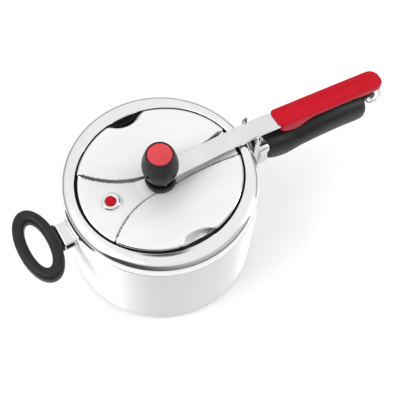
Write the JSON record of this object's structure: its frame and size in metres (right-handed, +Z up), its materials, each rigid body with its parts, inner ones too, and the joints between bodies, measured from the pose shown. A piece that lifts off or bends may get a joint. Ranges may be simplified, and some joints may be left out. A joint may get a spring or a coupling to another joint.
{
  "type": "stovetop pressure cooker",
  "caption": "Polished aluminium stovetop pressure cooker with an inner-closing oval lid, a red lever handle, a black grip, an oval helper handle and a black regulator weight.",
  "frame": {"origin": "centre of the pot's underside, on the surface it stands on", "axes": "+Z up, +X along the long handle, +Y to the side"},
  "size_m": [0.4325, 0.2, 0.1839],
  "materials": {
    "polished_aluminium": "mirror polished",
    "bright_steel": "fine brushed, bright",
    "rivet_aluminium": "as pressed",
    "brass": "turned",
    "black_phenolic": "moulded, satin",
    "red_plastic": "moulded, semi-gloss",
    "gasket_rubber": "moulded, dull"
  },
  "bodies": {
    "pot": {"pot_body": "polished_aluminium", "handle_saddle": "bright_steel", "handle_bracket": "bright_steel", "handle_ferrule": "bright_steel", "handle_rivets": "rivet_aluminium", "fulcrum_pin": "bright_steel", "pot_handle": "black_phenolic", "grip_bolt": "bright_steel", "grip_insert": "brass", "ring_bush": "bright_steel", "helper_handle": "black_phenolic", "helper_bracket": "bright_steel", "helper_screw": "bright_steel", "helper_nut": "bright_steel", "helper_rivets": "rivet_aluminium"},
    "lever_arm": {"lever_arm": "bright_steel", "arm_clevis": "bright_steel", "clevis_rivets": "bright_steel", "hub_pins": "bright_steel", "lid_handle": "red_plastic", "lid_handle_screws": "bright_steel"},
    "lid": {"lid_plate": "polished_aluminium", "gasket": "gasket_rubber", "vent_stem": "brass", "stem_washer": "bright_steel", "stem_nut": "brass", "lid_hub": "black_phenolic", "safety_seat": "bright_steel", "safety_nut": "bright_steel"},
    "weight_core": {"weight_core": "bright_steel", "weight_needle": "bright_steel"},
    "weight_shell": {"weight_shell": "black_phenolic", "weight_cap": "red_plastic"},
    "safety_plug": {"safety_plug": "red_plastic"},
    "hang_ring": {"hang_ring": "bright_steel"}
  },
  "joints": [
    {"name": "lever_lift", "type": "hinge", "parent": "pot", "child": "lever_arm", "pos_m": [0.105, 0, 0.1397], "axis": [0, -1, 0], "range_deg": [0, 7]},
    {"name": "lid_level", "type": "hinge", "parent": "lever_arm", "child": "lid", "pos_m": [0, 0, 0.137], "axis": [0, -1, 0], "range_deg": [-7, 0]},
    {"name": "weight_lift", "type": "slide", "parent": "lid", "child": "weight_core", "axis": [0, 0, 1], "range_m": [0, 0.03]},
    {"name": "weight_turn", "type": "hinge", "parent": "weight_core", "child": "weight_shell", "pos_m": [0, 0, 0.16], "axis": [0, 0, 1], "continuous": true},
    {"name": "plug_pop", "type": "slide", "parent": "lid", "child": "safety_plug", "axis": [0, 0, 1], "range_m": [0, 0.004]},
    {"name": "ring_swing", "type": "hinge", "parent": "pot", "child": "hang_ring", "pos_m": [0.255, 0, 0.103], "axis": [0, 1, 0], "range_deg": [0, 90]}
  ],
  "couplings": [
    {"joint": "lid_level", "follows": "lever_lift", "ratio": -1}
  ]
}
